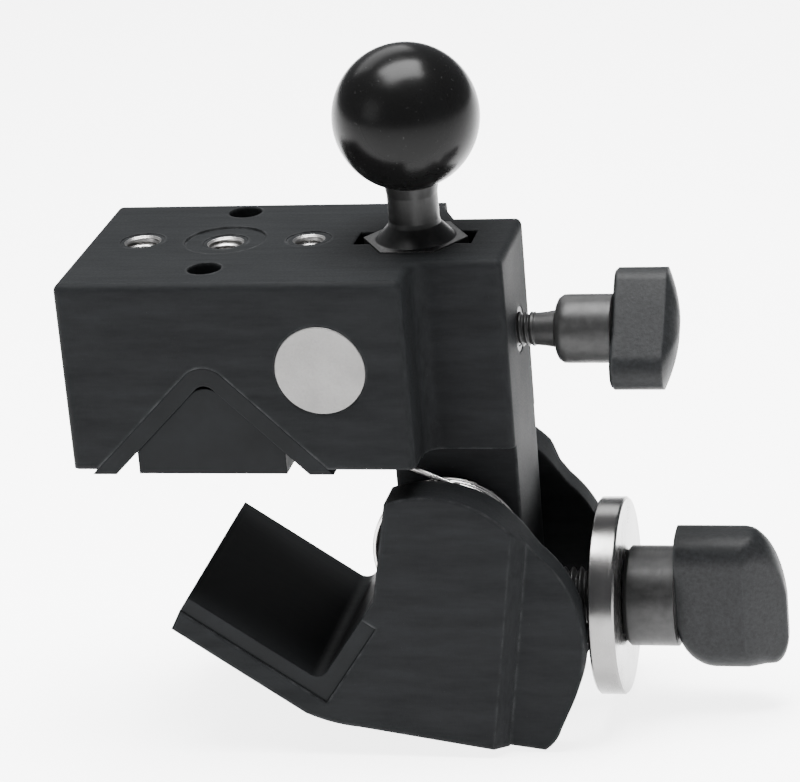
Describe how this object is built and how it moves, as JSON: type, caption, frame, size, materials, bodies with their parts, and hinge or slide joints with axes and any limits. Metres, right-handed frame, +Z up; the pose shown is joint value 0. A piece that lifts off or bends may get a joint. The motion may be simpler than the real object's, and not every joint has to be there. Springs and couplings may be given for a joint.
{
  "type": "table and tube clamp with ball stud",
  "caption": "Die-cast table and tube clamp with a swinging lower jaw, screw and cam drive, and a ball stud held in a hex socket by a side lock screw.",
  "frame": {"origin": "on the clamping face (table level), under the apex of the upper V, in the plane of both screw axes", "axes": "+X towards the knobs, +Y away from the disc side, +Z up towards the ball"},
  "size_m": [0.1203, 0.0496, 0.1226],
  "materials": {
    "casting_black": "matte, fine grain",
    "liner_black": "matte",
    "knob_black": "matte, grainy",
    "screw_black": "satin",
    "stud_black": "satin",
    "ball_black": "gloss",
    "disc_silver": "satin",
    "insert_zinc": "bright",
    "washer_steel": "polished",
    "spring_steel": "bright",
    "pin_steel": "ground",
    "bush_bronze": "machined"
  },
  "bodies": {
    "clamp_body": {"body_casting": "casting_black", "upper_v_liner": "liner_black", "upper_wedge": "liner_black", "side_disc": "disc_silver", "thread_insert_left": "insert_zinc", "thread_insert_centre": "insert_zinc", "thread_insert_right": "insert_zinc", "clamp_bush": "bush_bronze", "lock_bush": "insert_zinc", "pivot_bush": "bush_bronze", "pivot_spacer_near": "pin_steel", "pivot_spacer_far": "pin_steel", "ball_stud": "stud_black", "ball": "ball_black", "torsion_spring": "spring_steel", "release_guide": "screw_black", "release_spring": "spring_steel"},
    "jaw": {"jaw_casting": "casting_black", "lower_v_liner": "liner_black", "pivot_pin": "pin_steel", "pivot_plug": "screw_black"},
    "washer": {"thrust_washer": "washer_steel"},
    "screw_and_knob": {"clamp_screw": "screw_black", "clamp_knob": "knob_black", "washer_ring": "pin_steel"},
    "locking_tip": {"lock_tip": "bush_bronze"},
    "lock_screw_and_knob": {"lock_screw": "screw_black", "lock_knob": "knob_black"},
    "release": {"release_plunger": "pin_steel", "release_button": "screw_black"}
  },
  "joints": [
    {"name": "jaw_swing", "type": "hinge", "parent": "clamp_body", "child": "jaw", "pos_m": [0.0365, 0, -0.02425], "axis": [0, -1, 0], "range_deg": [-30, 24], "deforming": ["torsion_spring"]},
    {"name": "washer_slide", "type": "slide", "parent": "clamp_body", "child": "washer", "axis": [1, 0, 0], "range_m": [-0.0046, 0.0037]},
    {"name": "clamp_screw_turn", "type": "hinge", "parent": "washer", "child": "screw_and_knob", "pos_m": [0.0671, 0, -0.03275], "axis": [1, 0, 0], "range_deg": [-1080, 870]},
    {"name": "lock_tip_slide", "type": "slide", "parent": "clamp_body", "child": "locking_tip", "axis": [1, 0, 0], "range_m": [0, 0.005]},
    {"name": "lock_screw_turn", "type": "hinge", "parent": "locking_tip", "child": "lock_screw_and_knob", "pos_m": [0.058, 0, 0.0178], "axis": [1, 0, 0], "range_deg": [0, 1810]},
    {"name": "release_press", "type": "slide", "parent": "clamp_body", "child": "release", "axis": [0, -1, 0], "range_m": [0, 0.003], "stiffness_N_per_m": 600, "springref_m": -0.003, "deforming": ["release_spring"]}
  ],
  "couplings": [
    {"joint": "washer_slide", "follows": "jaw_swing", "m_per_rad": 0.0085},
    {"joint": "clamp_screw_turn", "follows": "jaw_swing", "ratio": 35.605},
    {"joint": "lock_screw_turn", "follows": "lock_tip_slide", "rad_per_m": 6283.2}
  ]
}
